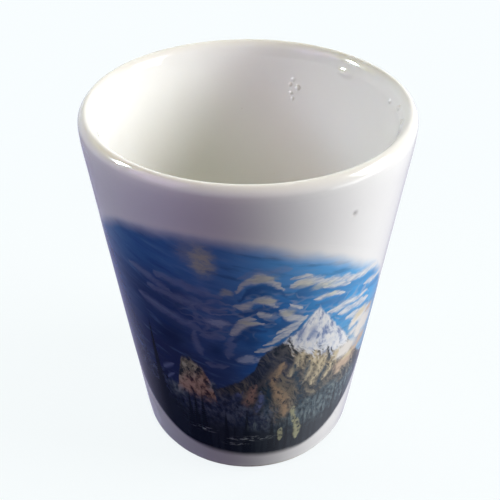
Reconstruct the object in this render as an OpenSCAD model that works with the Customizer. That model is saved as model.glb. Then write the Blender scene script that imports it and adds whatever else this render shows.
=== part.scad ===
// Tapered ceramic shot glass with a souvenir picture on its front.
// The foot ring stands on Z = 0, the axis is Z, and the front, with the picture, faces -Y.
// The fired clay body carries every other piece as a thin coat on its surface.

/* [Cup] */
// Height from the table to the top of the rim
cup_h = 60; // [50:0.5:75]
// Outside diameter at the widest point, just under the rim
rim_d = 48.5; // [44:0.5:60]
// Outside diameter that the straight wall would have at the table
base_d = 36.9; // [34:0.1:42]
// Wall thickness at the rim
rim_wall = 2.6; // [2.4:0.1:4]
// Wall thickness level with the floor
foot_wall = 3.6; // [3:0.1:5]
// Height of the cup's floor above the table
floor_h = 6; // [5:0.5:9]
// Radius of the hollow's rounded bottom edge
floor_round = 6.5; // [3:0.5:8]
// Radius on each edge of the rim
rim_round = 1.25; // [0.8:0.05:1.25]

/* [Foot] */
// Radius of the edge between the wall and the foot ring
foot_round = 0.9; // [0.4:0.1:1.5]
// Radius of the recess under the floor
recess_r = 14; // [11:0.5:15]
// Depth of the recess under the floor
recess_h = 1.2; // [1:0.1:2]
// Height above the table where the glaze is wiped off the outside
bare_h = 1.3; // [1:0.1:3]

/* [Coats] */
// Thickness of the white glaze
glaze_t = 0.25; // [0.15:0.05:0.4]
// Thickness of the clear coat that takes the picture
coat_t = 0.08; // [0.04:0.01:0.1]
// Height above the table where the clear coat starts
coat_low = 2.2; // [2:0.1:2.5]
// Distance from the top of the rim down to the end of the clear coat
coat_gap = 2.4; // [2:0.1:4]
// Thickness of the dyed skin that holds the picture
picture_t = 0.05; // [0.02:0.01:0.05]

/* [Picture] */
// Height of the picture's middle above the table
picture_mid = 28; // [28:0.2:30]
// How far the picture's middle is turned from the front, in degrees
picture_turn = -6; // [-30:1:30]
// Half of the oval picture's length along its long axis, in mm round the wall
picture_half_w = 31; // [20:0.5:31]
// Half of the oval picture's height across its long axis
picture_half_h = 24.6; // [15:0.1:24.6]
// Tilt of the oval: its right end hangs below its left end, in degrees
picture_tilt = 17; // [0:1:20]

/* [Hidden] */
$fn = 96;
arc_steps = 12;
outline_step = 6;
recess_draft = 0.5;
recess_corner = 0.6;
ring_inner_round = 0.4;
underside_bare_h = 0.45;

rim_r = rim_d / 2;
base_r = base_d / 2;
taper = (rim_r - base_r) / (cup_h - rim_round);
wall_angle = atan(taper);
clay_top = cup_h - glaze_t;
clay_rim_round = rim_round - glaze_t;

// Radius of the glazed wall at a height, with a coat of the given thickness over it
function wall_r(z, over = 0) = base_r + taper * z + over / cos(wall_angle);

// Corners of the clay's section, each [radius, height, rounding], from the axis under the
// floor out to the foot, up the wall, over the rim and down to the axis above the floor
under_axis = [0, recess_h, 0];
recess_edge = [recess_r, recess_h, recess_corner];
ring_inner = [recess_r + recess_draft, 0, ring_inner_round];
ring_outer = [wall_r(0, -glaze_t), 0, foot_round];
rim_outer = [wall_r(clay_top, -glaze_t), clay_top, clay_rim_round];
rim_inner = [wall_r(cup_h) - rim_wall + glaze_t, clay_top, clay_rim_round];
floor_edge = [wall_r(floor_h) - foot_wall, floor_h - glaze_t, floor_round + glaze_t];
floor_axis = [0, floor_h - glaze_t, 0];
clay_section = [under_axis, recess_edge, ring_inner, ring_outer, rim_outer, rim_inner,
                floor_edge, floor_axis];

// The stretches of that section that carry glaze
glaze_start = [wall_r(bare_h, -glaze_t), bare_h, 0];
cup_run = [glaze_start, rim_outer, rim_inner, floor_edge, floor_axis];
recess_end = [recess_r + recess_draft * (1 - underside_bare_h / recess_h), underside_bare_h, 0];
recess_run = [under_axis, recess_edge, recess_end];

function flat(p) = [p[0], p[1]];
function unit(v) = v / norm(v);
function turned(v, a) = [v[0] * cos(a) - v[1] * sin(a), v[0] * sin(a) + v[1] * cos(a)];
function reversed(list) = [for (i = [len(list) - 1:-1:0]) list[i]];

// One corner as an arc of its rounding, or as the bare point where it has none
function arc_at(before, corner, after, r) =
    let (a = unit(before - corner), b = unit(after - corner), half = acos(a * b) / 2,
         middle = corner + unit(a + b) * r / sin(half),
         from = corner + a * r / tan(half) - middle,
         sweep = (180 - 2 * half) * (cross(a, b) < 0 ? 1 : -1))
    [for (i = [0:arc_steps]) middle + turned(from, sweep * i / arc_steps)];

// A run of corners as plain points, with each rounding drawn
function rounded(run) =
    [for (i = [0:len(run) - 1])
        each (run[i][2] > 0
            ? arc_at(flat(run[i - 1]), flat(run[i]), flat(run[i + 1]), run[i][2])
            : [flat(run[i])])];

// A run moved outwards by t, which is to the right of the way it goes
function side(p, q) = let (d = unit(flat(q) - flat(p))) [d[1], -d[0]];
function grown_corner(p, n1, n2, t) =
    concat(flat(p) + (n1 + n2) * t / (1 + n1 * n2),
           [p[2] > 0 ? p[2] + (cross(n1, n2) > 0 ? t : -t) : 0]);
function grown(run, t) =
    [for (i = [0:len(run) - 1])
        let (n1 = side(run[max(i - 1, 0)], run[max(i, 1)]),
             n2 = side(run[min(i, len(run) - 2)], run[min(i + 1, len(run) - 1)]))
        grown_corner(run[i], n1, n2, t)];

// A coat of thickness t along a run, as a ring round the axis
module coat_ring(run, t) {
    rotate_extrude()
        polygon(concat(rounded(grown(run, t)), reversed(rounded(run))));
}

// A conical skin between two heights, from one thickness over the glaze to another
module wall_skin(low, high, inner, outer) {
    rotate_extrude()
        polygon([[wall_r(low, inner), low], [wall_r(low, outer), low],
                 [wall_r(high, outer), high], [wall_r(high, inner), high]]);
}

// The picture's outline as seen along Y: a tilted oval bent round the wall
function outline_point(a) =
    let (oval = [picture_half_w * cos(a), picture_half_h * sin(a)],
         set = turned(oval, -picture_tilt),
         z = picture_mid + set[1],
         round_angle = set[0] / wall_r(picture_mid) * 180 / PI)
    [wall_r(z, coat_t + picture_t) * sin(round_angle), z];

module picture_block() {
    rotate([90, 0, 0])
        linear_extrude(height = rim_d)
            polygon([for (a = [0:outline_step:360 - outline_step]) outline_point(a)]);
}

module ceramic_body() {
    color("linen")
        rotate_extrude()
            polygon(rounded(clay_section));
}

module cup_glaze() {
    color("white")
        coat_ring(cup_run, glaze_t);
}

module underside_glaze() {
    color("white")
        coat_ring(recess_run, glaze_t);
}

module clear_coat() {
    color("whitesmoke")
        wall_skin(coat_low, cup_h - coat_gap, 0, coat_t);
}

module picture_print() {
    reach = norm([picture_half_w * sin(picture_tilt), picture_half_h * cos(picture_tilt)]) + 1;
    color("steelblue")
        rotate([0, 0, picture_turn])
            intersection() {
                wall_skin(picture_mid - reach, picture_mid + reach, coat_t, coat_t + picture_t);
                picture_block();
            }
}

ceramic_body();
cup_glaze();
underside_glaze();
clear_coat();
picture_print();
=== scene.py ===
"""A tapered ceramic shot glass: white glaze, a bare foot ring and a printed mountain picture.

Lengths in the shape sections are millimetres and become metres when a mesh is made.
A direction round the cup is an angle in degrees from the front (-Y), growing towards +X.
"""
import math

import bmesh
import bpy
from mathutils import Matrix, Vector, noise


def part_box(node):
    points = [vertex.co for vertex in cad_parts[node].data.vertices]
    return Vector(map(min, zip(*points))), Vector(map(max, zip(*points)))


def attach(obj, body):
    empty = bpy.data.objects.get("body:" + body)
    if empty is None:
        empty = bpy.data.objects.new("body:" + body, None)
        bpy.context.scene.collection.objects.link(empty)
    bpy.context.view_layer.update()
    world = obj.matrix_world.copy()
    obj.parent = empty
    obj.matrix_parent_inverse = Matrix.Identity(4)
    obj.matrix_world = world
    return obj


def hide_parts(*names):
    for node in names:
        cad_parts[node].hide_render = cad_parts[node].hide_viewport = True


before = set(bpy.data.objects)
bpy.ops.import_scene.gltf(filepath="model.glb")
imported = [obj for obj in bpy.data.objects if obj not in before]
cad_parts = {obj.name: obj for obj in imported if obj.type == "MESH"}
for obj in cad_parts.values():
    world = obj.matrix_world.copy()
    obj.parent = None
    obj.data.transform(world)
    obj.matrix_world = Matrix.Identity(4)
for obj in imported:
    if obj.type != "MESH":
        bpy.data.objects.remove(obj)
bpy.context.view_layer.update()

# ---------------------------------------------------------------- sizes, from the frame

MM = 0.001


def node_box(node):
    """A CAD node's lowest and highest corners, in millimetres."""
    low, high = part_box(node)
    return low / MM, high / MM


glaze_low, glaze_high = node_box("cup_glaze")
coat_low, coat_high = node_box("clear_coat")
recess_low, recess_high = node_box("underside_glaze")

CUP_H = glaze_high.z
RIM_R = glaze_high.x
BARE_H = glaze_low.z
COAT_BOTTOM, COAT_TOP = coat_low.z, coat_high.z
RECESS_H = recess_high.z
RECESS_BARE_H = recess_low.z

BASE_R = 18.45
RIM_ROUND = 1.25
RIM_WALL = 2.6
FOOT_WALL = 3.6
FLOOR_H = 6.0
FLOOR_ROUND = 6.5
FOOT_ROUND = 0.9
RECESS_R = 14.0
RECESS_DRAFT = 0.5
RECESS_ROUND = 0.6
RING_INNER_ROUND = 0.4
GLAZE_T = 0.25
COAT_T = 0.08
PICTURE_T = 0.05

PICTURE_MID = 28.0
PICTURE_TURN = -6.0
PICTURE_HALF_W = 31.0
PICTURE_HALF_H = 24.6
PICTURE_TILT = math.radians(17)

TAPER = (RIM_R - BASE_R) / (CUP_H - RIM_ROUND)
WALL_LEAN = math.atan(TAPER)


def wall_r(z, over=0.0):
    """Radius of the glazed outside at a height, or of a skin that much over it."""
    return BASE_R + TAPER * z + over / math.cos(WALL_LEAN)


MM_PER_DEGREE = math.radians(wall_r(PICTURE_MID))

# ---------------------------------------------------------------- sections

ARC_STEPS = 10
# A point added to a run is at least this far from the others, up or down
LEAST_GAP = 0.02
# A point this near to the axis is on it
ON_AXIS = 1e-6


def arc(before, corner, after, radius):
    """Points of the arc that rounds a corner."""
    a, b = (before - corner).normalized(), (after - corner).normalized()
    half = a.angle(b) / 2
    middle = corner + (a + b).normalized() * radius / math.sin(half)
    start = corner + a * radius / math.tan(half) - middle
    turn = (math.pi - 2 * half) * (1 if a.cross(b) < 0 else -1)
    return [middle + Matrix.Rotation(turn * i / ARC_STEPS, 2) @ start
            for i in range(ARC_STEPS + 1)]


def rounded(run):
    """A run of corners, each (point, rounding), as points with every rounding drawn."""
    points = []
    for i, (point, radius) in enumerate(run):
        if radius:
            points += arc(run[i - 1][0], point, run[i + 1][0], radius)
        else:
            points.append(point)
    return points


def grown(run, t):
    """A run moved to the right of the way it goes, with its roundings kept parallel."""
    sides = []
    for (p, _), (q, _) in zip(run, run[1:]):
        along = (q - p).normalized()
        sides.append(Vector((along.y, -along.x)))
    before, after = [sides[0]] + sides, sides + [sides[-1]]
    moved = []
    for (point, radius), n, m in zip(run, before, after):
        change = math.copysign(t, n.cross(m)) if radius else 0
        moved.append((point + (n + m) * t / (1 + n.dot(m)), radius + change))
    return moved


def spaced(points, gap):
    """The same run with points added so that none are further apart than gap."""
    out = [points[0]]
    for p, q in zip(points, points[1:]):
        count = max(1, math.ceil((q - p).length / gap))
        out += [p.lerp(q, i / count) for i in range(1, count + 1)]
    return out


def refined(points, heights_at):
    """The run with more points where it crosses the heights given for its radius there."""
    out = [points[0]]
    for p, q in zip(points, points[1:]):
        low, high = sorted((p.y, q.y))
        crossed = [z for z in heights_at(p.x) if low + LEAST_GAP < z < high - LEAST_GAP]
        if q.y < p.y:
            crossed.reverse()
        out += [p.lerp(q, (z - p.y) / (q.y - p.y)) for z in crossed]
        out.append(q)
    return out


def corner(r, z, radius=0.0):
    """One corner of a run: its point and its rounding."""
    return Vector((r, z)), radius


clay_top = CUP_H - GLAZE_T
clay_rim_round = RIM_ROUND - GLAZE_T
under_axis = corner(0, RECESS_H)
recess_edge = corner(RECESS_R, RECESS_H, RECESS_ROUND)
ring_inner = corner(RECESS_R + RECESS_DRAFT, 0, RING_INNER_ROUND)
ring_outer = corner(wall_r(0, -GLAZE_T), 0, FOOT_ROUND)
rim_outer = corner(wall_r(clay_top, -GLAZE_T), clay_top, clay_rim_round)
rim_inner = corner(wall_r(CUP_H) - RIM_WALL + GLAZE_T, clay_top, clay_rim_round)
floor_edge = corner(wall_r(FLOOR_H) - FOOT_WALL, FLOOR_H - GLAZE_T, FLOOR_ROUND + GLAZE_T)
floor_axis = corner(0, FLOOR_H - GLAZE_T)
glaze_start = corner(wall_r(BARE_H, -GLAZE_T), BARE_H)
recess_end = corner(RECESS_R + RECESS_DRAFT * (1 - RECESS_BARE_H / RECESS_H), RECESS_BARE_H)

CLAY_RUN = [under_axis, recess_edge, ring_inner, ring_outer, rim_outer, rim_inner,
            floor_edge, floor_axis]
GLAZE_RUN = [glaze_start, rim_outer, rim_inner, floor_edge, floor_axis]
RECESS_RUN = [under_axis, recess_edge, recess_end]

# ---------------------------------------------------------------- hand-made unevenness

# A pit in the outside wall, at a direction and a height, with a lip raised round it
PIT = (34.5, 53.6)
PIT_R = 0.42
PIT_DEPTH = 0.12
PIT_LIP = 0.035
# Drops of glaze inside the cup, each a cap of a small ball: direction, height, ball radius
DROPS = [(159.0, 54.2, 0.40), (160.0, 53.3, 0.38), (156.4, 53.0, 0.52), (159.6, 51.9, 0.40),
         (158.6, 51.0, 0.38), (101.5, 57.6, 0.40), (91.5, 58.4, 0.50), (79.0, 58.5, 0.46)]
# The angle at which a drop meets the wall, and a height that is below all of them
DROP_EDGE = math.radians(66)
DROP_LOW = 50.0
# A thicker run of glaze beside them: direction, height, half width, half height, rise
RUN = (134.0, 57.4, 1.10, 0.50, 0.40)
# The lip slims from a height up, to lose this part of its thickness at the top
LIP_SLIM_FROM = 57.6
LIP_SLIM = 0.38
LIP_SLIM_POWER = 1.5
# The glaze's slow and quick waves: length and depth
WAVE_LONG, WAVE_DEPTH_LONG = 11.0, 0.035
WAVE_SHORT, WAVE_DEPTH_SHORT = 3.2, 0.008
# The glaze's lower edge: how high its roll is, which part of its thickness it loses there,
# and how far it wanders up
EDGE_ROLL = 0.9
EDGE_THINNING = 0.96
EDGE_WANDER = 0.12
# The grain of the bare clay, and how far above the glaze's edge it goes on
GRAIN_DEPTH = 0.02
GRAIN_UNDER_EDGE = 0.3
# The clear coat: how far it thins out at each end, and how thin it gets
COAT_FEATHER = 1.6
COAT_THIN = 0.004
# The picture: which part of its reach thins out, and which part of its thickness is left
PICTURE_FEATHER = 0.06
PICTURE_THIN = 0.1
# How far the hidden side of the coat and of the picture lies in the layer under it
SKIN_SINK = 0.02


def round_from(middle, degrees, radius):
    """How far round the cup one direction lies from another, in millimetres."""
    return math.radians((degrees - middle + 180) % 360 - 180) * radius


def bump_at(degrees, z, radius, centre, half_w, half_h):
    """A smooth hill, 1 at its middle, round a point of the wall."""
    across = round_from(centre[0], degrees, radius) / half_w
    up = (z - centre[1]) / half_h
    return math.exp(-(across * across + up * up))


def waviness(point):
    """How far the glaze lies under its ideal surface there: always a little below it."""
    slow = noise.noise(point / WAVE_LONG) - 1
    quick = noise.noise(point / WAVE_SHORT) - 1
    return WAVE_DEPTH_LONG * slow + WAVE_DEPTH_SHORT * quick


def outside_dent(degrees, z, point):
    """Waviness of the outside wall, with one pit in it that has a raised lip."""
    radius = wall_r(z)
    hole = bump_at(degrees, z, radius, PIT, PIT_R, PIT_R)
    lip = bump_at(degrees, z, radius, PIT, PIT_R * 2, PIT_R * 2)
    return waviness(point) + PIT_LIP * lip - PIT_DEPTH * hole


def slimmed(point):
    """A point of the wall's section, drawn towards the wall's middle near the lip."""
    up = max(0.0, (point.y - LIP_SLIM_FROM) / (CUP_H - LIP_SLIM_FROM))
    middle = (rim_outer[0].x + rim_inner[0].x) / 2
    return Vector((middle + (point.x - middle) * (1 - LIP_SLIM * up ** LIP_SLIM_POWER), point.y))


def drop_at(degrees, z, radius, drop):
    """The height of one drop there: a cap that meets the wall at an angle."""
    middle, height, ball = drop
    across, up = round_from(middle, degrees, radius), z - height
    left = max(ball ** 2 - across ** 2 - up ** 2, 0.0)
    return max(math.sqrt(left) - ball * math.cos(DROP_EDGE), 0.0)


def inside_dent(degrees, z, radius, point):
    """Waviness of the inside wall, with the drops and the run of glaze on it."""
    if z < DROP_LOW:
        return waviness(point)
    drops = max(drop_at(degrees, z, radius, drop) for drop in DROPS)
    run = RUN[4] * bump_at(degrees, z, radius, RUN[:2], RUN[2], RUN[3])
    return waviness(point) + drops + run


# ---------------------------------------------------------------- meshes

SHARP_EDGE = math.radians(50)
SEAM_ANGLE = 180.0


def around(radius, degrees, z):
    """A point on a circle round the cup's axis."""
    angle = math.radians(degrees)
    return Vector((radius * math.sin(angle), -radius * math.cos(angle), z))


def directions(count, close=(), close_gap=0.5, reach=3.0):
    """Angles round the cup as a rising list: even ones, which give way to closer ones that
    reach a few degrees to each side of the given angles."""
    even = [-SEAM_ANGLE + 360 * i / count for i in range(count)]
    extra = []
    for middle in close:
        steps = int(reach / close_gap)
        extra += [middle + close_gap * i for i in range(-steps, steps + 1)]
    kept = []
    for angle in sorted(extra):
        if not kept or angle - kept[-1] > close_gap * 0.6:
            kept.append(angle)
    even = [a for a in even if all(abs(a - k) > close_gap * 0.7 for k in kept)]
    return sorted(even + kept)


def new_object(name, mesh, material):
    """An object of the scene, from a mesh under construction and a material."""
    data = bpy.data.meshes.new(name)
    mesh.to_mesh(data)
    mesh.free()
    data.materials.append(material)
    made = bpy.data.objects.new(name, data)
    bpy.context.scene.collection.objects.link(made)
    return made


def make_piece(name, mesh, nodes, material):
    """Finishes a piece: smooth faces, crisp edges where it turns hard, place in the frame."""
    bmesh.ops.recalc_face_normals(mesh, faces=mesh.faces)
    for face in mesh.faces:
        face.smooth = True
    for edge in mesh.edges:
        edge.smooth = edge.calc_face_angle(0) < SHARP_EDGE
    bmesh.ops.scale(mesh, vec=Vector((MM, MM, MM)), verts=mesh.verts)
    piece = new_object(name, mesh, material)
    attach(piece, "root")
    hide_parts(*nodes)


def banded(mesh, rings):
    """Joins each ring of points to the next with faces. A ring may be a single point."""
    for low, high in zip(rings, rings[1:]):
        count = max(len(low), len(high))
        for i in range(count):
            j = (i + 1) % count
            ends = [low[i % len(low)], low[j % len(low)], high[j % len(high)], high[i % len(high)]]
            face = list(dict.fromkeys(ends))
            if len(face) > 2:
                mesh.faces.new(face)


def revolved(section, angles, place):
    """A closed mesh: section's points, each (key, r, z), carried round the axis.

    place(key, degrees, r, z) gives the final point. A point at r = 0 is made once.
    """
    mesh = bmesh.new()
    rings = []
    for key, r, z in section:
        if r < ON_AXIS:
            rings.append([mesh.verts.new(place(key, 0.0, 0.0, z))])
        else:
            rings.append([mesh.verts.new(place(key, a, r, z)) for a in angles])
    starts_on_axis = len(rings[0]) == 1
    banded(mesh, rings if starts_on_axis else rings + rings[:1])
    return mesh


def two_sided(over, under):
    """The section of a coat: out along its outer run and back along its inner one."""
    section = [(("over", i), p.x, p.y) for i, p in enumerate(over)]
    return section + [(("under", i), p.x, p.y) for i, p in reversed(list(enumerate(under)))]


def eased(part):
    """A part from 0 to 1 with a soft start and end. More than 1 counts as 1."""
    part = min(1.0, part)
    return part * part * (3 - 2 * part)


def normal_of(points, index):
    """Unit vector to the right of a run at one of its points, as (r, z)."""
    before = points[max(index - 1, 0)]
    after = points[min(index + 1, len(points) - 1)]
    along = (after - before).normalized()
    return Vector((along.y, -along.x))


def shifted(degrees, point, normal, offset):
    """The point of a section at an angle, moved along the section's normal."""
    moved = point + normal * offset
    return around(max(moved.x, 0.0), degrees, moved.y)


def make_clay(material):
    """The fired clay: its bare foot ring is grainy, and the rest is under the coats."""
    points = [slimmed(p) for p in spaced(rounded(CLAY_RUN), 1.5)]
    section = [(i, p.x, p.y) for i, p in enumerate(points)]

    def place(key, degrees, r, z):
        ideal = around(r, degrees, z)
        depth = 0.0
        if z < BARE_H + GRAIN_UNDER_EDGE:
            rough = 0.5 * noise.noise(ideal / 0.7) + 0.5 * noise.noise(ideal / 2.1)
            depth = GRAIN_DEPTH * (rough - 1)
        return shifted(degrees, points[key], normal_of(points, key), depth)

    mesh = revolved(section, directions(240), place)
    make_piece("clay_cup", mesh, ["ceramic_body"], material)


def make_glaze(material):
    """The white glaze: over the inside, the rim and the outside, with a rolled lower edge."""
    rim_r = (rim_outer[0].x + rim_inner[0].x) / 2
    outer = spaced(rounded(grown(GLAZE_RUN, GLAZE_T)), 1.25)
    # More rows where the pit, the drops and the run are, and under the lip: heights in tenths
    outside_z = [z / 10 for z in [*range(526, 548), *range(570, 592, 2)]]
    inside_z = [z / 10 for z in [*range(506, 548), *range(560, 570, 2), *range(570, 593)]]
    outer = refined(outer, lambda r: outside_z if r > rim_r else inside_z)
    outer = [slimmed(p) for p in outer]
    inner = [slimmed(p) for p in spaced(rounded(GLAZE_RUN), 3.0)]
    section = two_sided(outer, inner)
    drop_angles = sorted({drop[0] for drop in DROPS} | {RUN[0]})

    def place(key, degrees, r, z):
        side, index = key
        if side == "under":
            return around(r, degrees, z)
        point, normal = outer[index], normal_of(outer, index)
        ideal = around(r, degrees, z)
        if r > rim_r:
            dent = outside_dent(degrees, z, ideal)
        else:
            dent = inside_dent(degrees, z, r, ideal)
        # The lower edge thins almost to nothing over a rounded roll and isn't quite level
        up = (z - BARE_H) / EDGE_ROLL
        if r > rim_r and up < 1:
            dent += GLAZE_T * (math.sqrt(max(0.0, 1 - (1 - up) ** 2)) - 1) * EDGE_THINNING
            wander = EDGE_WANDER * (1 + noise.noise(ideal / 4)) * (1 - up)
            point = point + Vector((0, wander))
        return shifted(degrees, point, normal, dent)

    angles = directions(256, [PIT[0]] + drop_angles, 0.25, 1.6)
    mesh = revolved(section, angles, place)
    bmesh.ops.remove_doubles(mesh, verts=mesh.verts, dist=1e-5)
    make_piece("white_glaze", mesh, ["cup_glaze"], material)


def make_underside(material):
    """The glaze in the recess under the floor, as wavy as the rest."""
    over = spaced(rounded(grown(RECESS_RUN, GLAZE_T)), 1.0)
    under = spaced(rounded(RECESS_RUN), 1.0)
    section = two_sided(over, under)

    def place(key, degrees, r, z):
        side, index = key
        ideal = around(r, degrees, z)
        if side == "under":
            return ideal
        return shifted(degrees, over[index], normal_of(over, index), waviness(ideal))

    mesh = revolved(section, directions(200), place)
    make_piece("underside_glaze_patch", mesh, ["underside_glaze"], material)


def skin_point(degrees, z, over):
    """A point of the outside wall at a height, a little over the glaze and as uneven as it."""
    ideal = around(wall_r(z), degrees, z)
    dent = outside_dent(degrees, z, ideal)
    normal = Vector((math.cos(WALL_LEAN), -math.sin(WALL_LEAN)))
    return shifted(degrees, Vector((wall_r(z), z)), normal, dent + over)


def make_coat(material):
    """The clear coat on the outside wall, feathered out at its two ends."""
    # Even rows, and close ones at the pit
    steps = 46
    rows = [COAT_BOTTOM + (COAT_TOP - COAT_BOTTOM) * i / steps for i in range(steps + 1)]
    rows = sorted(rows + [PIT[1] + 0.12 * i for i in range(-12, 13)])
    rows = [z for z, above in zip(rows, rows[1:] + [math.inf]) if above - z > 0.03]
    section = [("over", wall_r(z), z) for z in rows]
    section += [("under", wall_r(z), z) for z in reversed(rows)]

    def place(key, degrees, r, z):
        if key == "under":
            return skin_point(degrees, z, -SKIN_SINK)
        full = eased(min(z - COAT_BOTTOM, COAT_TOP - z) / COAT_FEATHER)
        return skin_point(degrees, z, COAT_THIN + (COAT_T - COAT_THIN) * full)

    mesh = revolved(section, directions(256, [PIT[0]], 0.3, 2.4), place)
    make_piece("clear_coat_skin", mesh, ["clear_coat"], material)


def make_picture(material):
    """The dyed skin that holds the picture: an oval that feathers out all round."""
    mesh = bmesh.new()
    steps, spokes = 80, 240

    def on_wall(out, angle, over):
        across = PICTURE_HALF_W * out * math.cos(angle)
        up = PICTURE_HALF_H * out * math.sin(angle)
        x = across * math.cos(PICTURE_TILT) + up * math.sin(PICTURE_TILT)
        y = up * math.cos(PICTURE_TILT) - across * math.sin(PICTURE_TILT)
        return skin_point(PICTURE_TURN + x / MM_PER_DEGREE, PICTURE_MID + y, over)

    def sheet(over_at):
        rings = [[mesh.verts.new(on_wall(0, 0, over_at(0)))]]
        for out in (k / steps for k in range(1, steps + 1)):
            ring = [on_wall(out, 2 * math.pi * j / spokes, over_at(out)) for j in range(spokes)]
            rings.append([mesh.verts.new(p) for p in ring])
        return rings

    def thickness(out):
        full = eased((1 - out) / PICTURE_FEATHER)
        return PICTURE_T * (PICTURE_THIN + (1 - PICTURE_THIN) * full)

    outside = sheet(lambda out: COAT_T + thickness(out))
    inside = sheet(lambda out: COAT_T - SKIN_SINK)
    banded(mesh, outside + inside[::-1])
    make_piece("printed_picture", mesh, ["picture_print"], material)


# ---------------------------------------------------------------- formulas as shader nodes


class Signal:
    """A number that runs through a material's nodes. Arithmetic on it adds Math nodes."""

    def __init__(self, tree, socket):
        self.tree, self.socket = tree, socket

    def feed(self, socket):
        self.tree.links.new(self.socket, socket)

    def node(self, kind):
        return self.tree.nodes.new("ShaderNode" + kind)

    def made(self, node, output):
        return Signal(self.tree, node.outputs[output])

    def math(self, operation, *others):
        node = self.node("Math")
        node.operation = operation
        for value, socket in zip((self,) + others, node.inputs):
            give(value, socket)
        return self.made(node, 0)

    def vector(self, operation, *others, scale=None):
        node = self.node("VectorMath")
        node.operation = operation
        for value, socket in zip((self,) + others, node.inputs):
            give(value, socket)
        if scale is not None:
            give(scale, node.inputs["Scale"])
        number = operation in ("LENGTH", "DISTANCE", "DOT_PRODUCT")
        return self.made(node, "Value" if number else "Vector")

    def __add__(self, other):
        return self.math("ADD", other)

    def __sub__(self, other):
        return self.math("SUBTRACT", other)

    def __mul__(self, other):
        return self.math("MULTIPLY", other)

    def __truediv__(self, other):
        return self.math("DIVIDE", other)

    def __rsub__(self, other):
        return (self * -1) + other

    def times_plus(self, factor, term):
        return self.math("MULTIPLY_ADD", factor, term)

    def split(self):
        """The three parts of a vector."""
        node = self.node("SeparateXYZ")
        self.feed(node.inputs[0])
        return [Signal(self.tree, part) for part in node.outputs]

    def clamped(self):
        node = self.node("Clamp")
        self.feed(node.inputs["Value"])
        return self.made(node, "Result")

    __radd__, __rmul__ = __add__, __mul__


def give(value, socket):
    """Sets a socket from a Signal, or from a plain number or colour."""
    if isinstance(value, Signal):
        value.feed(socket)
    else:
        socket.default_value = value


def coordinates(tree, kind="Object"):
    """The place on the piece in its own axes, or another kind of place, as one signal."""
    return Signal(tree, tree.nodes.new("ShaderNodeTexCoord").outputs[kind])


def smooth(signal, low, high):
    """0 below low and 1 above high with an eased step between, or the reverse if low > high."""
    node = signal.node("MapRange")
    node.interpolation_type, node.clamp = "SMOOTHSTEP", False
    signal.feed(node.inputs["Value"])
    give(low, node.inputs["From Min"])
    give(high, node.inputs["From Max"])
    return signal.made(node, "Result")


def plane(x, y):
    """Two signals as one place in the picture plane."""
    node = x.node("CombineXYZ")
    give(x, node.inputs["X"])
    give(y, node.inputs["Y"])
    return x.made(node, 0)


def noise_at(place, scale, detail, roughness):
    """Noise from 0 to 1 for each place."""
    node = place.node("TexNoise")
    node.inputs["Scale"].default_value = scale
    node.inputs["Detail"].default_value = detail
    node.inputs["Roughness"].default_value = roughness
    place.feed(node.inputs["Vector"])
    return place.made(node, "Fac")


def grain(spot, wide, high, seed, detail=3.0, roughness=0.55):
    """Noise over the picture plane, about 0 to 1, with features about wide by high."""
    stretched = spot.vector("MULTIPLY_ADD", (1 / wide, 1 / high, 0.0), (0.0, 0.0, seed * 7.3))
    return noise_at(stretched, 1.0, detail, roughness)


def chance(signal, seed):
    """A random number from 0 to 1 for each whole value of the signal."""
    node = signal.node("TexWhiteNoise")
    node.noise_dimensions = "1D"
    (signal + seed * 3.17).feed(node.inputs["W"])
    return signal.made(node, "Value")


def blend(below, above, amount):
    """One colour laid over another by an amount from 0 to 1."""
    node = amount.node("Mix")
    node.data_type = "RGBA"
    amount.feed(node.inputs[0])
    give(opaque(below), node.inputs[6])
    give(opaque(above), node.inputs[7])
    return amount.made(node, 2)


def opaque(colour):
    """A plain colour with its alpha. A Signal stays as it is."""
    return colour if isinstance(colour, Signal) else (*colour, 1.0)


def ramp(signal, stops):
    """A colour for each level of a signal from 0 to 1: stops are (level, colour)."""
    node = signal.node("ValToRGB")
    signal.feed(node.inputs["Fac"])
    elements = node.color_ramp.elements
    while len(elements) < len(stops):
        elements.new(0.5)
    for element, (level, colour) in zip(elements, stops):
        element.position = level
        element.color = (*colour, 1.0)
    return signal.made(node, "Color")


def length2(a, b):
    """The length of a flat vector from its two parts."""
    return b.times_plus(b, a * a).math("SQRT")


def blob(spot, centre, half_w, half_h):
    """1 in the middle of an ellipse, fading to 0 at its rim."""
    shift = (-centre[0] / half_w, -centre[1] / half_h, 0.0)
    away = spot.vector("MULTIPLY_ADD", (1 / half_w, 1 / half_h, 0.0), shift)
    return smooth(away.vector("LENGTH"), 1.0, 0.05)


def scaled(vector, amount):
    """A fixed vector times a signal.

    The signal goes to the Scale socket. When it went to a vector socket instead, the picture
    became too much for Cycles and rendered black.
    """
    node = amount.node("VectorMath")
    node.operation = "SCALE"
    node.inputs[0].default_value = vector
    amount.feed(node.inputs["Scale"])
    return amount.made(node, "Vector")


def stroke(spot, start, end, width, bow):
    """A soft brush stroke with thin ends, bowed to its left, 1 along its middle."""
    first = Vector((*start, 0.0))
    whole = Vector((*end, 0.0)) - first
    left = Vector((-whole.y, whole.x, 0.0)).normalized() * bow * 4
    off = spot.vector("SUBTRACT", first)
    along = off.vector("DOT_PRODUCT", whole / whole.length_squared).clamped()
    path = scaled(left, along * -1).vector("ADD", whole + left).vector("SCALE", scale=along)
    middle = along.times_plus(2, -1)
    square = middle * middle
    tapered = (square * square).times_plus(-0.65 * width, width)
    return smooth(off.vector("DISTANCE", path), tapered, 0.0)


def branches(y, down, half_w, seed, close):
    """How far a pine reaches out: more the further down, with ragged ends close together."""
    ragged = (y * close + seed).math("FRACT").times_plus(-0.5, 1.15)
    return down * ragged * half_w


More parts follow.
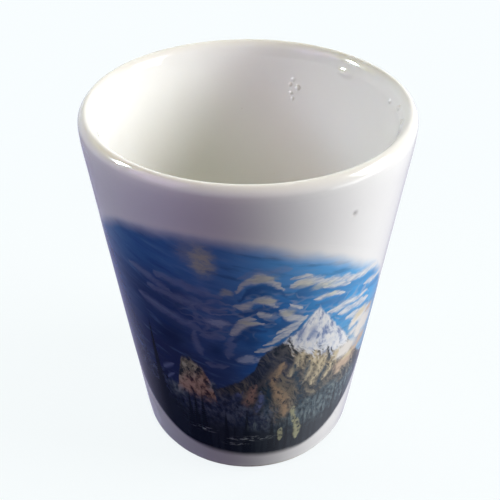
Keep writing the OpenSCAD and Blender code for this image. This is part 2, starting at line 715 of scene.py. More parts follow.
def pine(x, y, foot, top, half_w, seed):
    """A dark conifer: a narrow cone with ragged branches."""
    height = top - foot[1]
    down = y.times_plus(-1 / height, top / height)
    reach = branches(y, down, half_w, seed, 1.9)
    off = (x - foot[0]).math("ABSOLUTE")
    return smooth(reach - off, -0.1, 0.18) * smooth(down, 0.0, 0.05)


def pine_row(x, y, gap, foot, height, half_w, seed):
    """Conifers side by side, each with its own height and place."""
    cell = (x / gap).math("FLOOR")
    tall = chance(cell, seed).times_plus(0.6, 0.4) * height
    nudge = (chance(cell, seed + 5) - 0.5) * (gap * 0.5)
    off = ((x / gap).math("FRACT") - 0.5) * gap - nudge
    top = tall + foot
    down = (top - y) / height
    reach = branches(y, down, half_w, chance(cell, seed + 9), 2.3)
    return smooth(reach - off.math("ABSOLUTE"), -0.08, 0.16)


# ---------------------------------------------------------------- the painted picture

# The widest and the highest that an outline can be, in millimetres
OUTLINE_SPAN = 64.0
WHITE = (0.83, 0.83, 0.82)
CLOUD_CREAM = (0.66, 0.64, 0.46)
CLOUD_LAVENDER = (0.27, 0.32, 0.50)
PINE_DARK = (0.020, 0.028, 0.036)


def at(degrees, z):
    """A place in the picture: mm round the wall from the front, and height."""
    return degrees * MM_PER_DEGREE, z


def outline(x, points):
    """A height for each place round the wall, straight between (direction, height) points."""
    node = x.node("FloatCurve")
    (x * (1 / OUTLINE_SPAN) + 0.5).feed(node.inputs["Value"])
    curve = node.mapping.curves[0]
    while len(curve.points) < len(points):
        curve.points.new(0.5, 0.5)
    for point, (degrees, z) in zip(curve.points, points):
        point.location = degrees * MM_PER_DEGREE / OUTLINE_SPAN + 0.5, z / OUTLINE_SPAN
        point.handle_type = "VECTOR"
    node.mapping.update()
    return x.made(node, 0) * OUTLINE_SPAN


def across(x, stops):
    """A colour for each place round the wall: stops are (direction in degrees, colour)."""
    span = 180.0
    places = [(degrees / span + 0.5, colour) for degrees, colour in stops]
    return ramp(x * (1 / (span * MM_PER_DEGREE)) + 0.5, places)


def joined(masks):
    """The strongest of several masks, each taken up as soon as it is made."""
    total = None
    for mask in masks:
        total = mask if total is None else total.math("MAXIMUM", mask)
    return total


def brushed(spot, strokes):
    """Soft strokes together: each is (start, end, width, bow), in degrees and height."""
    return joined(stroke(spot, at(*start), at(*end), width, bow)
                  for start, end, width, bow in strokes)


def dabbed(spot, dabs):
    """Soft round dabs together: each is (middle, half width, half height)."""
    return joined(blob(spot, at(*middle), half_w, half_h) for middle, half_w, half_h in dabs)


def paint_sky(x, y):
    """Pale blue at the edges, navy towards the storm at the left, azure round the peak."""
    spot = plane(x, y)
    drift = grain(spot, 7, 4, 1) - 0.5
    sx, sy = x + drift * 7, y + drift * 5
    high = across(sx, [
        (-72, (0.28, 0.44, 0.62)), (-60, (0.09, 0.24, 0.49)), (-36, (0.055, 0.155, 0.38)),
        (-15, (0.085, 0.22, 0.5)), (4, (0.11, 0.31, 0.68)), (22, (0.1, 0.37, 0.74)),
        (48, (0.15, 0.47, 0.8))
    ])
    middle = across(sx, [
        (-76, (0.14, 0.25, 0.42)), (-64, (0.06, 0.16, 0.38)), (-52, (0.05, 0.11, 0.26)),
        (-40, (0.042, 0.075, 0.19)), (-26, (0.042, 0.08, 0.2)), (-12, (0.085, 0.17, 0.4)),
        (8, (0.04, 0.19, 0.53)), (22, (0.035, 0.24, 0.58)), (48, (0.06, 0.38, 0.76))
    ])
    low = across(sx, [
        (-76, (0.14, 0.2, 0.3)), (-62, (0.06, 0.11, 0.22)), (-40, (0.035, 0.05, 0.13)),
        (-22, (0.035, 0.055, 0.14)), (-6, (0.05, 0.105, 0.28)), (6, (0.03, 0.13, 0.42)),
        (40, (0.1, 0.33, 0.6)), (58, (0.24, 0.46, 0.66))
    ])
    sky = blend(low, middle, smooth(sy, 28, 36))
    sky = blend(sky, high, smooth(sy, 39, 47))
    streaks = grain(plane(x / 4 + y / 5, y / 1.1 + x / 5), 1, 1, 2, 3)
    sky = blend(sky, (0.02, 0.06, 0.2), smooth(streaks, 0.48, 0.78) * 0.5)
    return blend(sky, (0.2, 0.36, 0.62), smooth(streaks, 0.48, 0.2) * 0.35)


def torn_edges(mask, torn, amount, full):
    """A soft mask with its edge eaten away by noise. It is whole where the mask reaches full."""
    return smooth(mask * ((torn - 0.5) * (amount * 2) + 1), 0.06, full)


def torn_dabs(below, colour, strength, spot, dabs, torn, amount=1, full=0.85):
    """Colour laid on in soft dabs whose edges are torn."""
    return blend(below, colour, torn_edges(dabbed(spot, dabs), torn, amount, full) * strength)


def paint_clouds(x, y, below):
    """Lens-shaped clouds that curl over blue hollows, and a warm puff high at the left."""
    spot = plane(x, y)
    warped = plane(x + (grain(spot, 2, 1.5, 3, 3) - 0.5) * 1.5,
                   y + (grain(spot, 2, 1.5, 4, 3) - 0.5) * 1.3)
    torn = grain(warped, 1.1, 0.5, 5, 4, 0.65)
    curl = grain(warped, 2.7, 1.7, 21, 1)
    # Dark blue hollows that the clouds curl over
    hollows = dabbed(warped, [
        ((4.5, 42.8), 2.6, 1.9), ((19.5, 41.6), 2.2, 1.6), ((6, 38.9), 2.2, 1.3), ((12, 36), 3, 2.2),
        ((1, 33.6), 2.2, 2.4), ((-12, 30.8), 2.6, 2.4), ((-32, 31.5), 3.6, 3), ((34, 38.3), 4, 1.2),
        ((50, 37.9), 3.6, 1)
    ])
    sky = blend(below, across(x, [
        (-20, (0.022, 0.038, 0.1)), (-2, (0.025, 0.085, 0.27)), (30, (0.04, 0.2, 0.5))
    ]), hollows * 0.8)
    # Faint lavender veils in the storm at the left
    faint = brushed(warped, [
        ((-44, 37.6), (-16, 34.6), 1.7, 0.3), ((-38, 40.6), (-8, 39.2), 1.6, 0.2),
        ((-16.5, 37), (-6.5, 36.8), 2, 0.2), ((-19.8, 34.4), (-18.2, 29.4), 1.2, -0.3),
        ((-5, 34.4), (-6.9, 29.6), 1.2, -0.3), ((-17.5, 33.8), (-8.5, 33.9), 1.2, 0.2),
        ((-16.5, 27.9), (-8, 27.7), 1.2, -0.3), ((-34, 43.6), (-9, 42), 1.6, 0.3),
        ((-3, 45.8), (14, 47), 1.4, 0.3), ((-46, 43.2), (-28, 41), 1.6, 0.3)
    ])
    sky = blend(sky, CLOUD_LAVENDER, torn_edges(faint, torn, 0.9, 1.1) * 0.42)
    # Thin swirls between the clouds
    rings = smooth((curl - 0.5).math("ABSOLUTE"), 0.09, 0)
    field = dabbed(spot, [((8, 39), 10.5, 6.4), ((44, 36), 9.5, 5.4)])
    quiet = dabbed(spot, [((-13, 38), 7, 7)])
    sky = blend(sky, (0.36, 0.44, 0.58), rings * field * torn * 1.3)
    sky = blend(sky, CLOUD_LAVENDER, rings * quiet * torn)
    # Small puffs low over the hills
    puffs = [((0, 29.5), 2.2, 1.7), ((5.2, 29.4), 1.6, 1.2), ((-11, 36.9), 2.4, 1.2)]
    sky = torn_dabs(sky, (0.36, 0.44, 0.62), 0.9, warped, puffs, torn, 1.4)
    # The clouds, each stroke with a dark underside and streaky white over it
    curls = [
        ((-3.8, 43.4), (11.8, 43.4), 1.4, 2.4), ((1.5, 45), (9, 45), 0.7, 0.5),
        ((15, 43.8), (28, 42.5), 1.5, 0.9), ((14, 45), (22, 44.6), 0.7, 0.3),
        ((24, 43.4), (41, 41.4), 1.2, 0.2), ((27, 42), (39, 40.6), 0.8, 0.2),
        ((37, 41.4), (56, 40.4), 1.2, 0.1), ((24, 40.4), (37, 39.2), 0.9, 0.3),
        ((-4.5, 40.6), (2, 41.2), 1.1, -0.2), ((0.4, 40.9), (10.2, 40.2), 1.2, 1.1),
        ((3.4, 39.4), (8.6, 38.7), 0.7, -0.3), ((11, 39.4), (20.5, 36.8), 1.1, -0.3),
        ((14, 40.2), (19, 39.2), 0.6, -0.1), ((10.6, 34.8), (21.5, 37.2), 0.8, -0.1),
        ((9, 33.6), (20, 36.2), 0.6, -0.1), ((-5.8, 34.8), (5, 37), 1.3, 1.1),
        ((-3, 37.6), (3.2, 38), 0.6, 0.2), ((6, 32.6), (16, 34.6), 0.7, -0.2),
        ((3, 31.4), (11, 32), 0.7, -0.1), ((31, 36.4), (52, 35.9), 1.2, 0.3),
        ((36, 35), (55, 34), 1.2, 0.2), ((42, 33), (60, 30.6), 1.5, 0.2),
        ((46, 31.2), (60, 28.8), 1.2, 0.1), ((48, 38.2), (64, 36.8), 1.1, 0.1)
    ]
    underside = brushed(warped.vector("ADD", (-0.4, 1.5, 0)), curls)
    sky = blend(sky, across(x, [
        (-10, (0.025, 0.07, 0.22)), (10, (0.03, 0.12, 0.36)), (40, (0.06, 0.26, 0.56))
    ]), underside * 0.75)
    streaky = grain(plane(x / 1.6 + y / 8, y / 0.45 - x / 9), 1, 1, 23, 3, 0.6)
    white = ramp(streaky, [
        (0.38, (0.4, 0.48, 0.62)), (0.5, (0.6, 0.65, 0.71)), (0.62, (0.72, 0.74, 0.74))
    ])
    white = blend(white, (0.33, 0.37, 0.46), smooth(x, 12, -6) * 0.5)
    sky = blend(sky, white, torn_edges(brushed(warped, curls), torn, 0.8, 1))
    # Cream light on the clouds, and a warm puff in a haze high at the left
    warm = [
        ((5, 45.7), 3.2, 0.9), ((19.5, 43.7), 2.4, 1.2), ((26.5, 42.4), 2.8, 1),
        ((31, 40.2), 2, 0.7), ((6, 41.5), 2.4, 0.7), ((13.8, 38.6), 2, 0.9), ((-7.4, 43), 1.4, 1.1),
        ((0, 37.2), 2.2, 0.7)
    ]
    sky = torn_dabs(sky, CLOUD_CREAM, 0.45, warped, warm, torn)
    haze, puff = [((-17.8, 49.4), 4.2, 4.2)], [((-14.8, 48), 2.9, 4.6)]
    sky = torn_dabs(sky, (0.36, 0.4, 0.44), 0.6, warped, haze, torn, 1, 1.3)
    return torn_dabs(sky, (0.54, 0.54, 0.42), 0.85, warped, puff, torn, 1, 1.2)


def paint_bank(x, y, below):
    """The sunlit bank of cloud that lies against the mountain's right shoulder."""
    spot = plane(x, y)
    swirl = grain(spot, 2, 1.6, 6, 4) - 0.5
    warped = plane(x + swirl * 2.6, y + swirl * 1.8)
    torn = swirl + 0.5
    white = [((56, 28), 5.6, 4.2), ((46.5, 25), 4.4, 3), ((51, 30.6), 3.8, 2.2)]
    pink = [((47, 21.8), 5, 2.6), ((57, 24), 4.4, 2.6), ((60, 30.5), 2, 1.4)]
    gold = [((51.5, 31.6), 2.8, 1.7), ((49, 23), 2.4, 1)]
    bank = torn_dabs(below, (0.76, 0.73, 0.68), 1, warped, white, torn, 1.1)
    bank = torn_dabs(bank, (0.6, 0.45, 0.33), 0.9, warped, pink, torn, 1.5, 1)
    return torn_dabs(bank, (0.66, 0.58, 0.38), 0.8, warped, gold, torn, 1.2, 1)


# The summit: direction and height
PEAK = (26.6, 38.6)


def paint_mountain(x, y, below):
    """A snow peak over golden cliffs, with gullies that slant down from its top."""
    spot = plane(x, y)
    jag = grain(spot, 1.1, 1.1, 7, 4) - 0.5
    ridge = outline(x, [
        (-85, 12), (-14, 22), (-9, 23.2), (-3, 24.6), (2.6, 27.2), (5, 30), (8, 31.4), (13, 32.8),
        (17, 34), (20, 34.9), (22.5, 36.6), (26.6, 38.6), (29, 37), (32.5, 35), (36, 32.9),
        (41, 30.6), (46, 27.6), (52, 24), (62, 20), (85, 16)
    ])
    inside = smooth(ridge + jag * 1.4 - y, -0.4, 0.6)
    warp = grain(spot, 3, 3, 8, 3) - 0.5
    slant = x + y * 0.5 + warp * 3
    gully = grain(plane(slant / 1.15, y / 5.5), 1, 1, 9, 3, 0.6)
    fine = grain(plane(slant / 0.5, y / 1.8 + warp), 1, 1, 10, 3, 0.6)
    mix = gully * 0.5 + fine * 0.5
    cliff = ramp(mix, [
        (0.4, (0.035, 0.045, 0.05)), (0.47, (0.16, 0.14, 0.1)), (0.52, (0.33, 0.27, 0.17)),
        (0.59, (0.64, 0.55, 0.36))
    ])
    shade = ramp(mix, [
        (0.38, (0.018, 0.03, 0.05)), (0.49, (0.045, 0.06, 0.1)), (0.62, (0.14, 0.14, 0.14))
    ])
    foot = ramp(mix, [
        (0.38, (0.02, 0.035, 0.05)), (0.49, (0.085, 0.09, 0.09)), (0.62, (0.27, 0.24, 0.18))
    ])
    lit = smooth(x + warp * 5 + y * 0.45, 17.5, 22)
    rock = blend(shade, cliff, lit)
    rock = blend(rock, foot, smooth(y + warp * 7, 26, 21))
    # Snow: streaks that fan out from the summit, with blue-grey hollows
    fan = (x - PEAK[0] * MM_PER_DEGREE) / (PEAK[1] + 2.5 - y).math("MAXIMUM", 1)
    streaks = grain(plane(fan * 9 + warp, y / 3.2), 1, 1, 24, 3, 0.6)
    patches = grain(plane(x / 1.6 + warp, y / 1.3), 1, 1, 25, 2)
    crust = streaks * 0.55 + fine * 0.2 + patches * 0.25
    snow = ramp(crust, [
        (0.38, (0.13, 0.2, 0.4)), (0.45, (0.4, 0.46, 0.6)), (0.5, (0.68, 0.72, 0.78)),
        (0.56, (0.82, 0.83, 0.83))
    ])
    line = outline(x, [
        (-85, 45), (8, 36), (13, 32.8), (18, 30.4), (27, 28.6), (35, 26.8), (42, 26.2), (60, 27),
        (85, 27)
    ])
    snowy = smooth(y + (fine - 0.5) * 8 + (gully - 0.5) * 6 - line, -0.9, 1.3)
    blue_side = dabbed(plane(x + warp * 2, y), [
        ((20.5, 34), 1.2, 2), ((25, 33.4), 0.9, 2.4), ((30.5, 32.6), 0.8, 1.8)
    ])
    snow = blend(snow, (0.16, 0.24, 0.46), blue_side * 0.75)
    olive = dabbed(plane(x + warp * 3, y), [((13.5, 24), 3.4, 3.8), ((19.5, 21), 3.2, 3)])
    rock = blend(rock, (0.24, 0.2, 0.14), olive * smooth(fine, 0.36, 0.56) * 0.7)
    return blend(below, blend(rock, snow, snowy), inside)


def paint_cliff_lights(x, y, below):
    """Single ribs of the cliffs, warm where the light catches them and dark between."""
    spot = plane(x, y)
    warp = grain(spot, 1.8, 2.6, 11, 4) - 0.5
    warped = plane(x + warp * 1.8, y)
    bits = smooth(grain(spot, 0.6, 1, 12, 3), 0.3, 0.6)
    ribs = [
        ((0.1, 0.1, 0.11), 0.9,
         [((15, 31.5), (8, 25.5), 1.2, 0.2), ((10, 27), (4, 23), 1.2, 0.2)]),
        ((0.45, 0.32, 0.2), 1,
         [((14.2, 28), (10.2, 22.8), 1.3, -0.3), ((10.2, 23.2), (17.4, 14.2), 1.7, 0.6)]),
        ((0.4, 0.25, 0.2), 0.95, [((3, 23.4), (-3.4, 15.6), 1.3, 0.2)]),
        ((0.15, 0.19, 0.38), 0.9,
         [((6.2, 21.8), (4, 16.4), 1.1, 0.1), ((-2, 22), (-8, 18.5), 1.2, 0.1)]),
        ((0.66, 0.57, 0.38), 0.95,
         [((21.5, 29.6), (17.6, 24.6), 1.3, 0.2), ((27.5, 28.8), (23, 22), 1.5, 0.3),
          ((33.5, 27.5), (28, 21), 1.4, 0.2), ((40, 26.5), (34, 21), 1.3, 0.3)]),
        ((0.025, 0.06, 0.1), 0.95,
         [((8.4, 24.5), (8, 14.5), 1.1, 0.1), ((18.6, 27), (24.5, 14.5), 1.3, 0.4),
          ((25.5, 27), (22, 21.5), 0.8, 0.1), ((36, 26.5), (31, 19.5), 0.9, 0.2)])
    ]
    out = below
    for colour, amount, strokes in ribs:
        out = blend(out, colour, brushed(warped, strokes) * bits * amount)
    return out


def paint_hills(x, y, below):
    """Blue foothills at the left, teal woods at the right."""
    spot = plane(x, y)
    warp = grain(spot, 3.2, 2, 13, 4) - 0.5
    rough = grain(plane(x + y * 0.2, y), 0.7, 1.2, 14, 4, 0.6)
    left_top = outline(x, [
        (-85, 22), (-52, 24), (-40, 22.5), (-30, 21), (-14, 22.8), (-5, 21.5), (3, 18), (12, 14),
        (22, 11), (85, 8)
    ])
    left = smooth(left_top + warp * 6 - y, -0.6, 2.4)
    blue = ramp(rough, [
        (0.36, (0.018, 0.028, 0.058)), (0.5, (0.042, 0.064, 0.125)), (0.66, (0.13, 0.16, 0.21))
    ])
    out = blend(below, blue, left * 0.92)
    right_top = outline(x, [
        (-85, 4), (8, 10), (17, 15.5), (26, 18.6), (38, 20), (50, 18.6), (60, 18.6), (85, 17)
    ])
    right = smooth(right_top + warp * 6 - y, -0.8, 2.2)
    teal = ramp(rough, [
        (0.38, (0.016, 0.032, 0.045)), (0.5, (0.055, 0.09, 0.115)), (0.6, (0.11, 0.16, 0.18)),
        (0.68, (0.2, 0.25, 0.25))
    ])
    out = blend(out, teal, right * 0.9)
    scree = dabbed(plane(x + warp * 3, y + warp * 2), [
        ((9, 16.4), 2.2, 2.8), ((-8, 15.6), 2.4, 1.6), ((-3.5, 17.6), 1.6, 1.2)
    ])
    return blend(out, (0.16, 0.2, 0.27), scree * smooth(rough, 0.36, 0.6) * 0.8)


def paint_crag(x, y, below):
    """A small sunlit crag at the left, cream on top and rosy at its foot."""
    spot = plane(x, y)
    warp = grain(spot, 1.3, 1.3, 15, 4) - 0.5
    top = outline(x, [
        (-85, 8), (-37, 15), (-31.5, 20.5), (-29.8, 24.4), (-27.6, 27.6), (-24.5, 28.2), (-20.5, 27),
        (-18, 25.8), (-15, 22.4), (-13, 17.6), (85, 8)
    ])
    shape = smooth(top + warp * 2.2 - y, -0.5, 0.8) * smooth(y + warp * 4, 17.8, 20.4)
    cracks = grain(plane(x / 0.8 + warp * 2, y / 1.6), 1, 1, 16, 3, 0.55)
    lit = ramp(cracks, [
        (0.38, (0.05, 0.065, 0.065)), (0.48, (0.25, 0.24, 0.17)), (0.6, (0.56, 0.52, 0.36))
    ])
    rosy = ramp(cracks, [
        (0.38, (0.09, 0.06, 0.06)), (0.48, (0.36, 0.24, 0.17)), (0.6, (0.6, 0.41, 0.29))
    ])
    rock = blend(lit, rosy, smooth(y - x * 0.75 + warp * 4, 32.6, 28.4))
    out = blend(below, rock, shape)
    pale = ramp(cracks, [
        (0.38, (0.06, 0.085, 0.1)), (0.5, (0.14, 0.18, 0.21)), (0.64, (0.32, 0.37, 0.37))
    ])
    boulders = dabbed(plane(x + warp * 2, y + warp * 2),
                      [((-32.5, 18.8), 2.6, 2.6), ((-15.5, 22.4), 1.3, 2)])
    out = blend(out, pale, boulders * 0.85)
    lilac = brushed(plane(x + warp, y + warp),
                    [((-38.5, 22.8), (-33, 24.8), 0.8, 0.1), ((-37, 20.8), (-33, 22.6), 0.5, 0.1)])
    return blend(out, (0.2, 0.25, 0.42), lilac * 0.7)


def paint_shore(x, y, below):
    """The dark near ground with its pines, and thin lights on the water."""
    spot = plane(x, y)
    warp = grain(spot, 2.6, 1.6, 17, 4) - 0.5
    ground = outline(x, [
        (-85, 22), (-55, 17), (-42, 17.6), (-30, 14.6), (-12, 13), (4, 11.4), (24, 10.6), (40, 10.6),
        (52, 10.6), (85, 14)
    ])
    out = blend(below, (0.03, 0.04, 0.05), smooth(y + warp * 5 - ground, 4.2, -2.2) * 0.94)
    # Pines: foot, top, half width and how their branches start
    pines = [
        ((-42.2, 6), 33.6, 1.7, 0.3), ((-27, 8), 20.4, 0.95, 0.1), ((-24, 8), 20.8, 1, 0.7),
        ((-20.5, 8), 21.4, 0.95, 0.5), ((-10, 7), 17.2, 0.8, 0.2), ((-0.5, 7), 17.6, 0.95, 0.9),
        ((11, 7), 15.6, 0.8, 0.15), ((44.5, 7), 18, 0.9, 0.4), ((53, 7), 16, 0.8, 0.6)
    ]
    trees = joined(pine(x, y, at(*foot), top, half_w, seed) for foot, top, half_w, seed in pines)
    out = blend(out, PINE_DARK, trees * 0.9)
    out = blend(out, PINE_DARK, pine_row(x, y, 1.55, 5, 9.5, 0.75, 1) * 0.75)
    grove = smooth(x, 2, 5) * smooth(x, 15, 12)
    out = blend(out, PINE_DARK, pine_row(x, y, 1.2, 5.5, 11.5, 0.55, 2) * grove * 0.9)
    # Yellow-green larches on the shore at the right
    larch = brushed(plane(x + warp, y), [
        ((24, 7.6), (23.5, 13), 1.2, 0), ((21.6, 12.4), (20.4, 16.6), 0.9, 0),
        ((15.4, 8.2), (15.2, 11.6), 0.8, 0)
    ])
    leaves = smooth(grain(spot, 0.6, 0.8, 18, 2), 0.3, 0.52)
    out = blend(out, (0.46, 0.46, 0.28), smooth(larch, 0.1, 0.85) * leaves * 0.85)
    # Pale gaps between the trees, then light on the water
    gaps = smooth(grain(spot, 0.55, 3.2, 22, 2), 0.5, 0.66)
    behind = dabbed(spot, [((32, 14), 7.5, 4.6), ((50, 15), 4.6, 3.6), ((6, 13.6), 4.2, 3)])
    out = blend(out, (0.2, 0.26, 0.28), gaps * behind * 0.8)
    lap = grain(spot, 1.2, 0.32, 19, 3)
    water = dabbed(spot, [
        ((2, 9.5), 5.2, 1), ((-5, 9.3), 2.4, 0.6), ((-6, 7.9), 3, 0.6), ((-21, 10.6), 3.6, 0.9)
    ])
    return blend(out, (0.44, 0.5, 0.5), water * smooth(lap, 0.49, 0.62))


def wall_place(tree):
    """The place on the wall, from the piece's own coordinates: mm round it, and height."""
    px, py, pz = coordinates(tree).split()
    x = px.math("ARCTAN2", py * -1) * (math.degrees(1) * MM_PER_DEGREE)
    return x, pz * (1 / MM)


def picture_shown(x, y):
    """1 in the picture and 0 round it: soft at the top and sides, firmer along the bottom."""
    spot = plane(x, y)
    wander = grain(spot, 5, 5, 20, 2) - 0.5
    top = outline(x, [
        (-88, 28), (-80, 38), (-72, 43.6), (-60, 47.6), (-48, 50.2), (-36, 51.5), (-22, 52.1),
        (-8, 52.2), (2, 51.2), (12, 49.7), (24, 48), (34, 46), (44, 42.9), (54, 40.6), (62, 37.5),
        (70, 32), (76, 24)
    ])
    low = outline(x, [
        (-88, 27), (-76, 20), (-64, 13), (-56, 10.2), (-48, 7.6), (-36, 6), (-20, 5.2), (-4, 4.7),
        (12, 4.5), (28, 4.5), (38, 5.4), (48, 6.9), (58, 9.6), (66, 14), (76, 23)
    ])
    over = smooth(top + wander * 1.6 - y, -1.5, 1.9)
    under = smooth(y + wander * 0.5 - low, -0.8, 1)
    dx, dy = x - PICTURE_TURN * MM_PER_DEGREE, y - PICTURE_MID
    cos, sin = math.cos(PICTURE_TILT), math.sin(PICTURE_TILT)
    u = (dx * cos - dy * sin) / PICTURE_HALF_W
    v = (dx * sin + dy * cos) / PICTURE_HALF_H
    return over * under * smooth(length2(u, v), 1, 0.95)


def picture_colour(tree):
    """The whole picture, fading to white round it."""
    x, y = wall_place(tree)
    colour = paint_sky(x, y)
    for paint in (paint_clouds, paint_mountain, paint_bank, paint_cliff_lights, paint_hills,
                  paint_crag, paint_shore):
        colour = paint(x, y, colour)
    return blend(WHITE, colour, picture_shown(x, y))


# ---------------------------------------------------------------- materials

REFRACTION = 1.52
GLAZE_ROUGHNESS = (0.03, 0.09)
COAT_ROUGHNESS = (0.08, 0.15)
# Depth of the fine relief, in metres
PEEL_DEPTH = 0.000012
CLAY_GRAIN_DEPTH = 0.00006


def new_material(name):
    """A material with a Principled shader: returns it with its tree and its shader node."""
    material = bpy.data.materials.new(name)
    material.use_nodes = True
    tree = material.node_tree
    shader = tree.nodes["Principled BSDF"]
    shader.inputs["IOR"].default_value = REFRACTION
    return material, tree, shader


def object_noise(tree, scale, detail=3.0, roughness=0.5):
    """Noise in the piece's own coordinates: scale is features per metre."""
    return noise_at(coordinates(tree), scale, detail, roughness)


def bumpy(tree, shader, height, distance):
    """Fine relief on a surface, from a height of 0 to 1 and its depth in metres."""
    node = tree.nodes.new("ShaderNodeBump")
    node.inputs["Strength"].default_value = 1.0
    node.inputs["Distance"].default_value = distance
    height.feed(node.inputs["Height"])
    tree.links.new(node.outputs[0], shader.inputs["Normal"])


def glossy_material(name, roughness, colour_of):
    """Fired glaze with orange peel and faint patches of lower gloss, coloured by a function."""
    material, tree, shader = new_material(name)
    low, high = roughness
    patches = object_noise(tree, 160.0)
    (patches * (high - low) + low).feed(shader.inputs["Roughness"])
    peel = object_noise(tree, 520.0, 2.0)
    bumpy(tree, shader, peel, PEEL_DEPTH)
    colour_of(tree).feed(shader.inputs["Base Color"])
    return material


def glaze_colour(tree):
    """White, a little greyer on the lip where the glaze runs thin, with a few iron specks."""
    height = coordinates(tree).split()[2] * (1 / MM)
    cloudy = object_noise(tree, 55.0)
    lip = smooth(height + (cloudy - 0.5) * 0.8, CUP_H - 1.0, CUP_H)
    colour = blend(WHITE, (0.77, 0.76, 0.74), lip)
    colour = blend(colour, (0.80, 0.81, 0.80), smooth(cloudy, 0.5, 0.75) * 0.6)
    specks = object_noise(tree, 900.0, 1.0)
    return blend(colour, (0.52, 0.47, 0.40), smooth(specks, 0.80, 0.84) * 0.6)


def coat_colour(tree):
    """The clear coat, seen as the white under it, with painted shade darkening the pit."""
    pit = coordinates(tree).vector("DISTANCE", around(wall_r(PIT[1]), *PIT) * MM) * (1 / MM)
    # Painted shade: grey laid in and round the pit, darkest at its middle, where shade falls in the
    # hollow
    colour = blend(WHITE, (0.60, 0.59, 0.58), smooth(pit, 0.85, 0.1) * 0.6)
    return blend(colour, (0.50, 0.49, 0.48), smooth(pit, 0.36, 0.12) * 0.8)


def clay_material():
    """Unglazed off-white stoneware: matt, grainy, with a few darker specks."""
    material, tree, shader = new_material("fired_clay")
    shader.inputs["Specular IOR Level"].default_value = 0.25
    sand = object_noise(tree, 1400.0, 4.0, 0.65)
    stain = object_noise(tree, 120.0)
    colour = ramp(sand, [
        (0.30, (0.52, 0.47, 0.40)), (0.42, (0.70, 0.67, 0.60)), (0.60, (0.78, 0.75, 0.69))
    ])
    colour = blend(colour, (0.62, 0.57, 0.50), smooth(stain, 0.5, 0.75) * 0.5)
    colour.feed(shader.inputs["Base Color"])
    (sand * 0.2 + 0.75).feed(shader.inputs["Roughness"])
    bumpy(tree, shader, sand, CLAY_GRAIN_DEPTH)
    return material


# ---------------------------------------------------------------- the pieces

white_glaze = glossy_material("white_glaze", GLAZE_ROUGHNESS, glaze_colour)
make_clay(clay_material())
make_glaze(white_glaze)
make_underside(white_glaze)
make_coat(glossy_material("clear_coat_over_white", COAT_ROUGHNESS, coat_colour))
make_picture(glossy_material("printed_picture", COAT_ROUGHNESS, picture_colour))

# ---------------------------------------------------------------- studio

scene = bpy.context.scene
scene.view_settings.view_transform = "Standard"
scene.view_settings.look = "None"

# How much of the table's look is its own glow close to the cup. It is all glow further off
GLOW_AT_CUP = 0.89


def floor_material():
    """A pale table that glows evenly, and is shaded a little only close round the cup."""
    material = bpy.data.materials.new("studio_paper")
    material.use_nodes = True
    tree = material.node_tree
    shader = tree.nodes["Principled BSDF"]
    shader.inputs["Base Color"].default_value = (0.86, 0.88, 0.88, 1)
    shader.inputs["Roughness"].default_value = 0.9
    shader.inputs["Specular IOR Level"].default_value = 0.0
    glow = tree.nodes.new("ShaderNodeEmission")
    glow.inputs["Color"].default_value = (0.94, 0.985, 1.0, 1)
    mix = tree.nodes.new("ShaderNodeMixShader")
    far = smooth(coordinates(tree).vector("LENGTH"), 0.02, 0.12)
    (far * (1 - GLOW_AT_CUP) + GLOW_AT_CUP).feed(mix.inputs[0])
    tree.links.new(shader.outputs[0], mix.inputs[1])
    tree.links.new(glow.outputs[0], mix.inputs[2])
    tree.links.new(mix.outputs[0], tree.nodes["Material Output"].inputs["Surface"])
    return material


def make_stage():
    """A round table that curves up into a bowl: it is seen but adds no light of its own."""
    mesh = bmesh.new()
    flat, bend, wall = 1.2, 0.6, 1.6
    radii = [(flat * i / 12, 0.0) for i in range(1, 13)]
    radii += [(flat + bend * math.sin(a), bend - bend * math.cos(a))
              for a in (math.radians(9 * i) for i in range(1, 11))]
    radii.append((flat + bend, bend + wall))
    count = 96
    rings = [[mesh.verts.new((0, 0, 0))]]
    for r, z in radii:
        rings.append([mesh.verts.new(around(r, 360 * i / count, z)) for i in range(count)])
    banded(mesh, rings[::-1])
    for face in mesh.faces:
        face.smooth = True
    floor = new_object("studio_floor", mesh, floor_material())
    floor.visible_diffuse = False
    floor.visible_glossy = False
    floor.visible_shadow = False


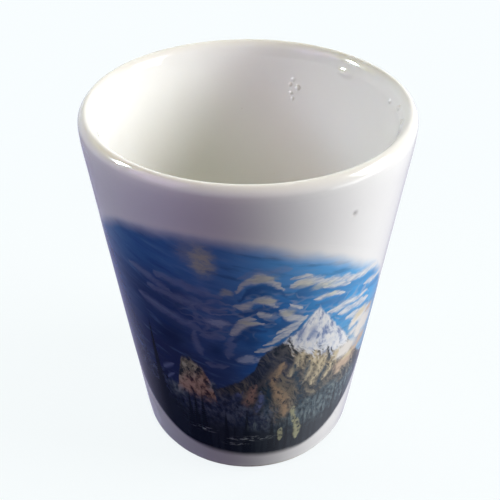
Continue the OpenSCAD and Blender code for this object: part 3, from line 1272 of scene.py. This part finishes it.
def make_world():
    """Light from the room: bright and cool from behind, warm from above, dark in front."""
    world = bpy.data.worlds.new("studio")
    scene.world = world
    world.use_nodes = True
    tree = world.node_tree
    x, y, up = coordinates(tree, "Generated").split()
    level = length2(x, y).math("MAXIMUM", 0.001)
    back = (y / level).math("MAXIMUM", 0.0).math("POWER", 2.0)
    right = (x / level).math("MAXIMUM", 0.0).math("POWER", 2.0)
    below = smooth(up, -0.1, -0.5)
    above = smooth(up, 0.35, 0.85)
    room = blend((0.0, 0.0, 0.05), (1.15, 1.25, 1.38), back)
    table = blend((0.0, 0.0, 0.03), (0.38, 0.36, 0.55), back)
    table = blend(table, (0.42, 0.42, 0.48), right)
    light = blend(blend(room, table, below), (0.50, 0.45, 0.20), above)
    light.feed(tree.nodes["Background"].inputs["Color"])


def lamp(name, turn, rise, away, width, height, watts, colour, glint=False):
    """A rectangular light that faces the cup, at a direction and a rise in degrees.

    A glint is seen only as a highlight in the glaze.
    """
    data = bpy.data.lights.new(name, "AREA")
    data.shape = "RECTANGLE"
    data.size, data.size_y = width, height
    data.energy, data.color = watts, colour
    light = bpy.data.objects.new(name, data)
    target = Vector((0, 0, 0.04))
    offset = around(math.cos(math.radians(rise)), turn, math.sin(math.radians(rise))) * away
    light.location = target + offset
    light.rotation_euler = offset.to_track_quat("Z", "Y").to_euler()
    light.visible_camera = False
    light.visible_diffuse = not glint
    scene.collection.objects.link(light)


def make_camera():
    """The camera looks down at the cup from in front, from close by."""
    data = bpy.data.cameras.new("camera")
    data.lens = 53.4
    data.sensor_width = 36.0
    data.shift_x = 0.0039
    data.clip_start = 0.01
    camera = bpy.data.objects.new("camera", data)
    camera.location = (0, -0.0973, 0.1062)
    looks_down = math.radians(36.9)
    camera.rotation_euler = (math.pi / 2 - looks_down, 0, 0)
    scene.collection.objects.link(camera)
    scene.camera = camera


make_stage()
make_world()
lamp("window", 87, 22, 0.50, 0.26, 0.24, 3.1, (1.0, 1.0, 1.0))
lamp("table_bounce", 72, -12, 0.50, 0.36, 0.16, 0.60, (1.0, 1.0, 1.0))
lamp("sky_behind", 150, 38, 0.60, 0.40, 0.30, 0.35, (0.6, 0.6, 0.8))
lamp("soft_left", -94, 32, 0.50, 0.07, 0.14, 0.60, (0.4, 0.65, 0.9))
lamp("pane_low", -94, 29, 0.50, 0.035, 0.035, 4.5, (1.0, 1.0, 1.0), glint=True)
lamp("pane_high", -94, 35, 0.50, 0.035, 0.035, 4.5, (1.0, 1.0, 1.0), glint=True)
lamp("soft_near_left", -100, 35, 0.16, 0.10, 0.10, 0.035, (1.0, 1.0, 0.1))
lamp("soft_near_front", -60, 35, 0.20, 0.12, 0.12, 0.11, (0.75, 0.55, 1.0))
make_camera()
